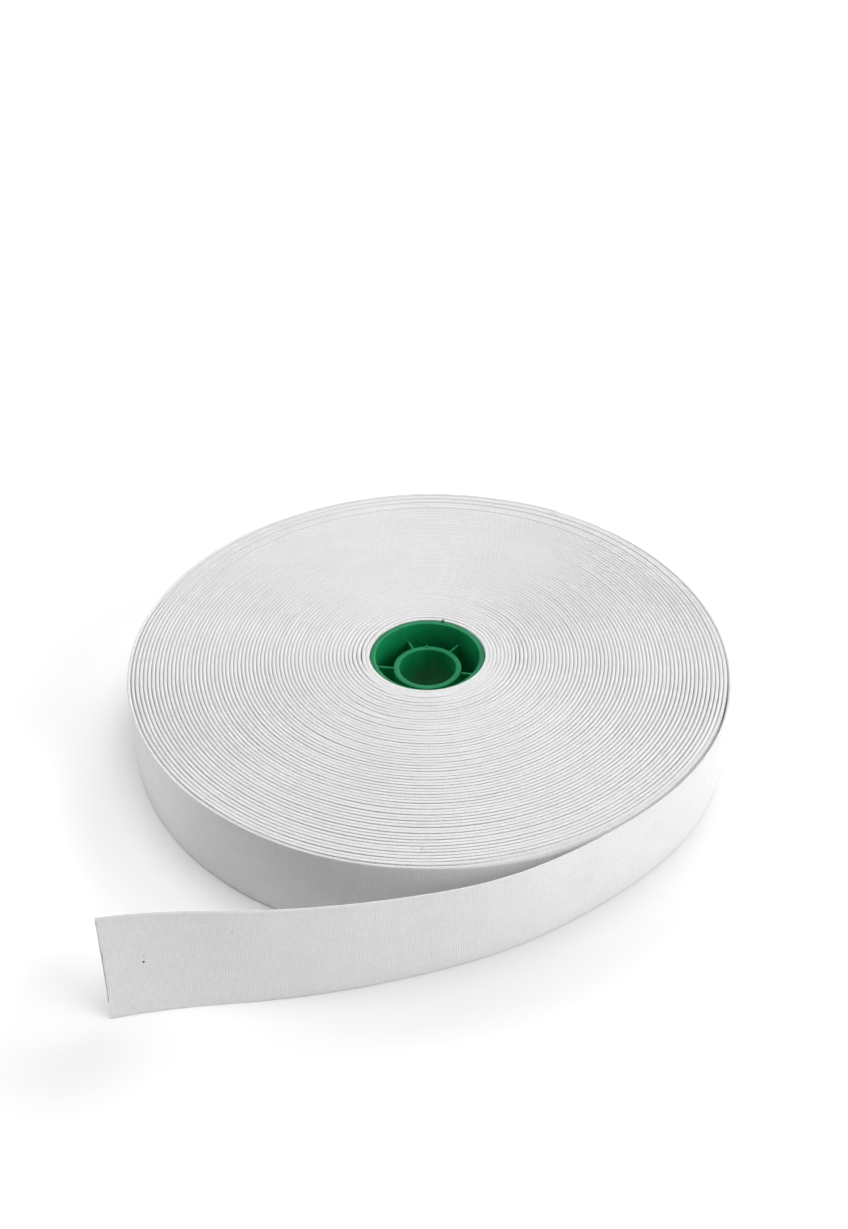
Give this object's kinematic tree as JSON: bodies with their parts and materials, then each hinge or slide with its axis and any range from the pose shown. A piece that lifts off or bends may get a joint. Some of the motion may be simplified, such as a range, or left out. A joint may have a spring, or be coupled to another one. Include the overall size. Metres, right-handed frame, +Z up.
{
  "type": "roll of elastic",
  "caption": "Roll of wide white woven elastic wound on a green plastic core, lying on its side, with its loose end let out along the surface.",
  "frame": {"origin": "middle of the footprint of the roll and its loose end together, on the surface that they lie on", "axes": "+Z up, along the roll's axis; +Y away from the side where the loose end comes off; +X to the right with the loose end in front"},
  "size_m": [0.2032, 0.2314, 0.0305],
  "materials": {
    "elastic": "matt woven elastic, off-white",
    "core_plastic": "satin moulded plastic, green"
  },
  "bodies": {
    "root": {"wound_elastic": "elastic", "loose_end": "elastic", "core": "core_plastic"}
  },
  "joints": []
}
